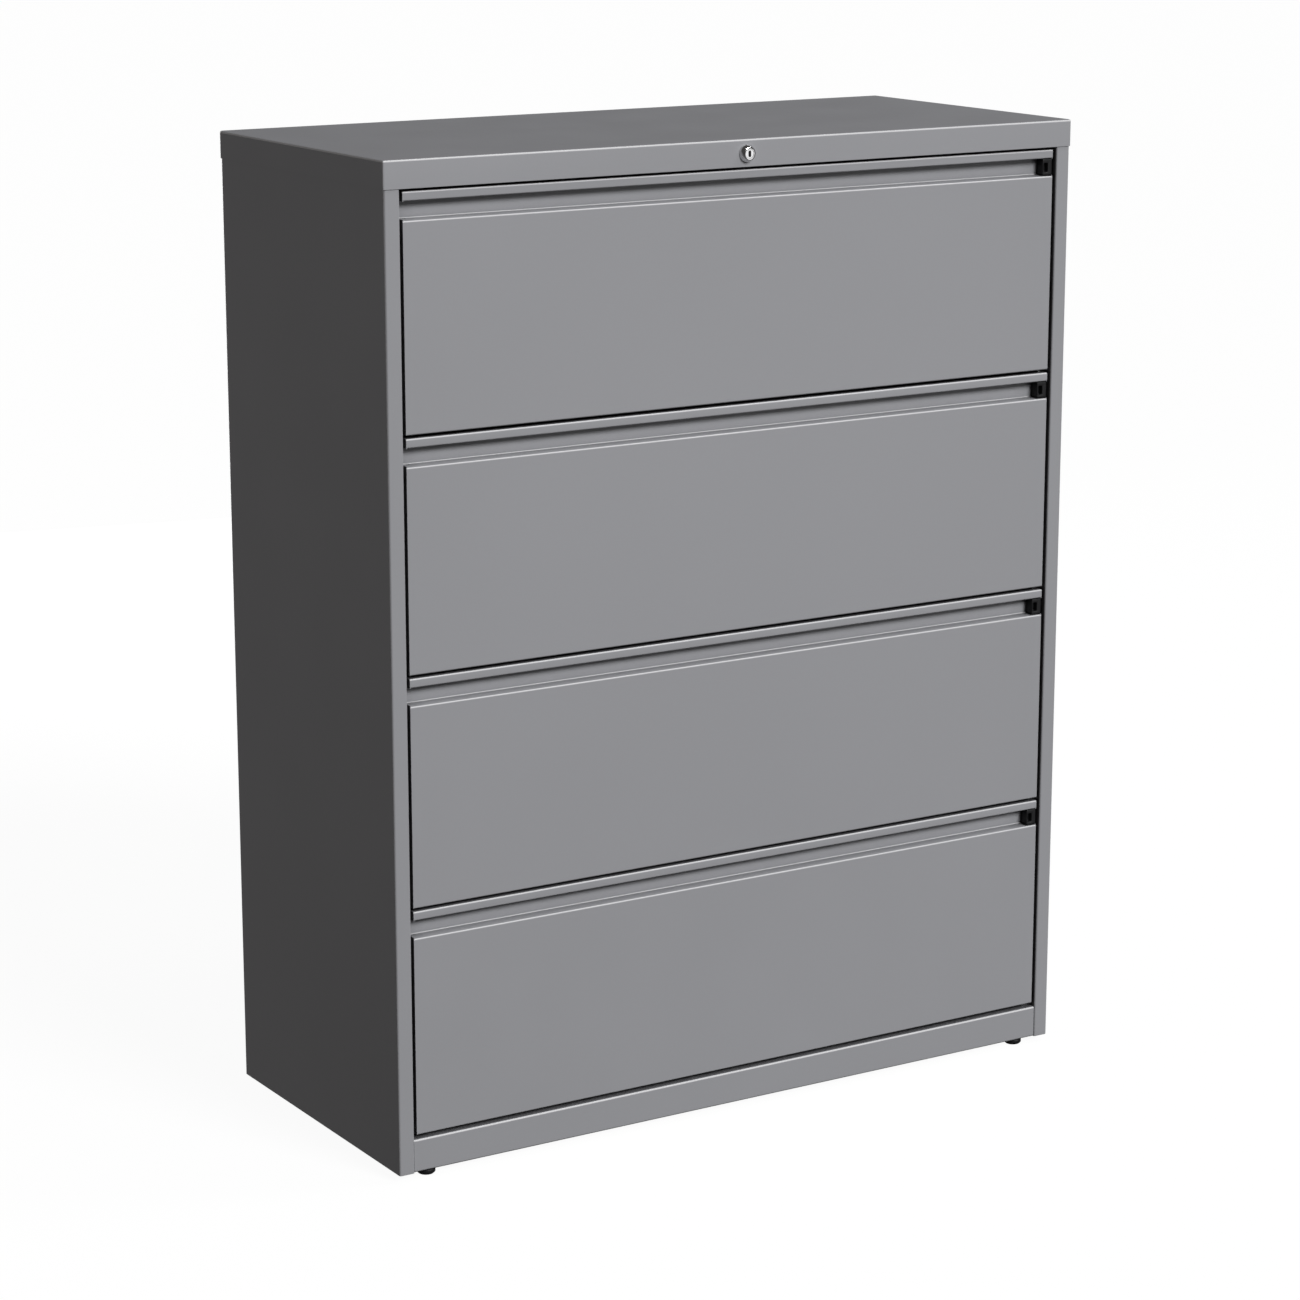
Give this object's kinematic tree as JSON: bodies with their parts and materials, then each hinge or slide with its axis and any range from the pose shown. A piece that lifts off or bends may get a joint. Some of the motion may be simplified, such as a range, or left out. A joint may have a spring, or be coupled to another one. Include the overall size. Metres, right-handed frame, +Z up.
{
  "type": "lateral filing cabinet",
  "caption": "Wide steel filing cabinet with full-width recessed drawer pulls, thumb latches, ball-bearing slides, a top lock that lifts a locking bar, and levelling glides.",
  "frame": {"origin": "middle of the footprint, on the floor", "axes": "+Z up, +X towards the right side seen from the front, -Y out of the drawer fronts"},
  "size_m": [1.0668, 0.4724, 1.3335],
  "materials": {
    "case_paint": "mid-grey powder coat with a fine orange peel",
    "zinc": "bright zinc plating",
    "chrome": "polished chrome",
    "black_plastic": "moulded black nylon",
    "iron": "raw cast slab"
  },
  "bodies": {
    "cabinet": {"top_cover": "case_paint", "side_panel_left": "case_paint", "side_panel_right": "case_paint", "back_panel": "case_paint", "base_pan": "case_paint", "base_rail": "case_paint", "slide_rack_left": "zinc", "slide_rack_right": "zinc", "counterweight": "iron", "interlock_rod": "zinc", "lock_cylinder": "chrome", "lock_nut": "zinc", "slide_1_left_outer": "zinc", "slide_1_right_outer": "zinc", "slide_2_left_outer": "zinc", "slide_2_right_outer": "zinc", "slide_3_left_outer": "zinc", "slide_3_right_outer": "zinc", "slide_4_left_outer": "zinc", "slide_4_right_outer": "zinc"},
    "key": {"lock_plug": "chrome", "lock_cam": "zinc"},
    "lock_link": {"lock_link": "zinc"},
    "lock_bar": {"lock_bar": "zinc"},
    "drawer_1": {"drawer_1_front": "case_paint", "drawer_1_tray": "case_paint", "drawer_1_file_bar": "zinc", "slide_1_left_inner": "zinc", "slide_1_right_inner": "zinc"},
    "slide_1_middles": {"slide_1_left_middle": "zinc", "slide_1_right_middle": "zinc"},
    "latch_1": {"drawer_1_latch": "black_plastic"},
    "drawer_2": {"drawer_2_front": "case_paint", "drawer_2_tray": "case_paint", "drawer_2_file_bar": "zinc", "slide_2_left_inner": "zinc", "slide_2_right_inner": "zinc"},
    "slide_2_middles": {"slide_2_left_middle": "zinc", "slide_2_right_middle": "zinc"},
    "latch_2": {"drawer_2_latch": "black_plastic"},
    "drawer_3": {"drawer_3_front": "case_paint", "drawer_3_tray": "case_paint", "drawer_3_file_bar": "zinc", "slide_3_left_inner": "zinc", "slide_3_right_inner": "zinc"},
    "slide_3_middles": {"slide_3_left_middle": "zinc", "slide_3_right_middle": "zinc"},
    "latch_3": {"drawer_3_latch": "black_plastic"},
    "drawer_4": {"drawer_4_front": "case_paint", "drawer_4_tray": "case_paint", "drawer_4_file_bar": "zinc", "slide_4_left_inner": "zinc", "slide_4_right_inner": "zinc"},
    "slide_4_middles": {"slide_4_left_middle": "zinc", "slide_4_right_middle": "zinc"},
    "latch_4": {"drawer_4_latch": "black_plastic"},
    "glide_front_left": {"glide_front_left": "black_plastic"},
    "glide_front_right": {"glide_front_right": "black_plastic"},
    "glide_rear_left": {"glide_rear_left": "black_plastic"},
    "glide_rear_right": {"glide_rear_right": "black_plastic"}
  },
  "joints": [
    {"name": "drawer_1_slide", "type": "slide", "parent": "cabinet", "child": "drawer_1", "axis": [0, -1, 0], "range_m": [0, 0.4]},
    {"name": "slide_1_middles_slide", "type": "slide", "parent": "cabinet", "child": "slide_1_middles", "axis": [0, -1, 0], "range_m": [0, 0.2]},
    {"name": "latch_1_slide", "type": "slide", "parent": "drawer_1", "child": "latch_1", "axis": [-1, 0, 0], "range_m": [0, 0.006], "stiffness_N_per_m": 300, "springref_m": -0.002},
    {"name": "drawer_2_slide", "type": "slide", "parent": "cabinet", "child": "drawer_2", "axis": [0, -1, 0], "range_m": [0, 0.4]},
    {"name": "slide_2_middles_slide", "type": "slide", "parent": "cabinet", "child": "slide_2_middles", "axis": [0, -1, 0], "range_m": [0, 0.2]},
    {"name": "latch_2_slide", "type": "slide", "parent": "drawer_2", "child": "latch_2", "axis": [-1, 0, 0], "range_m": [0, 0.006], "stiffness_N_per_m": 300, "springref_m": -0.002},
    {"name": "drawer_3_slide", "type": "slide", "parent": "cabinet", "child": "drawer_3", "axis": [0, -1, 0], "range_m": [0, 0.4]},
    {"name": "slide_3_middles_slide", "type": "slide", "parent": "cabinet", "child": "slide_3_middles", "axis": [0, -1, 0], "range_m": [0, 0.2]},
    {"name": "latch_3_slide", "type": "slide", "parent": "drawer_3", "child": "latch_3", "axis": [-1, 0, 0], "range_m": [0, 0.006], "stiffness_N_per_m": 300, "springref_m": -0.002},
    {"name": "drawer_4_slide", "type": "slide", "parent": "cabinet", "child": "drawer_4", "axis": [0, -1, 0], "range_m": [0, 0.4]},
    {"name": "slide_4_middles_slide", "type": "slide", "parent": "cabinet", "child": "slide_4_middles", "axis": [0, -1, 0], "range_m": [0, 0.2]},
    {"name": "latch_4_slide", "type": "slide", "parent": "drawer_4", "child": "latch_4", "axis": [-1, 0, 0], "range_m": [0, 0.006], "stiffness_N_per_m": 300, "springref_m": -0.002},
    {"name": "key_turn", "type": "hinge", "parent": "cabinet", "child": "key", "pos_m": [0, -0.22875, 1.3145], "axis": [0, 1, 0], "range_deg": [0, 90]},
    {"name": "link_slide", "type": "slide", "parent": "cabinet", "child": "lock_link", "axis": [1, 0, 0], "range_m": [0, 0.008]},
    {"name": "bar_lift", "type": "slide", "parent": "cabinet", "child": "lock_bar", "axis": [0, 0, 1], "range_m": [0, 0.008]},
    {"name": "turn_glide_front_left", "type": "hinge", "parent": "cabinet", "child": "glide_front_left", "pos_m": [-0.484, -0.20975, 0.0096], "axis": [0, 0, 1], "continuous": true},
    {"name": "turn_glide_front_right", "type": "hinge", "parent": "cabinet", "child": "glide_front_right", "pos_m": [0.484, -0.20975, 0.0096], "axis": [0, 0, 1], "continuous": true},
    {"name": "turn_glide_rear_left", "type": "hinge", "parent": "cabinet", "child": "glide_rear_left", "pos_m": [-0.484, 0.21725, 0.0096], "axis": [0, 0, 1], "continuous": true},
    {"name": "turn_glide_rear_right", "type": "hinge", "parent": "cabinet", "child": "glide_rear_right", "pos_m": [0.484, 0.21725, 0.0096], "axis": [0, 0, 1], "continuous": true}
  ],
  "couplings": [
    {"joint": "slide_1_middles_slide", "follows": "drawer_1_slide", "ratio": 0.5},
    {"joint": "slide_2_middles_slide", "follows": "drawer_2_slide", "ratio": 0.5},
    {"joint": "slide_3_middles_slide", "follows": "drawer_3_slide", "ratio": 0.5},
    {"joint": "slide_4_middles_slide", "follows": "drawer_4_slide", "ratio": 0.5},
    {"joint": "key_turn", "follows": "bar_lift", "rad_per_m": 196.3},
    {"joint": "link_slide", "follows": "bar_lift", "ratio": 1}
  ]
}
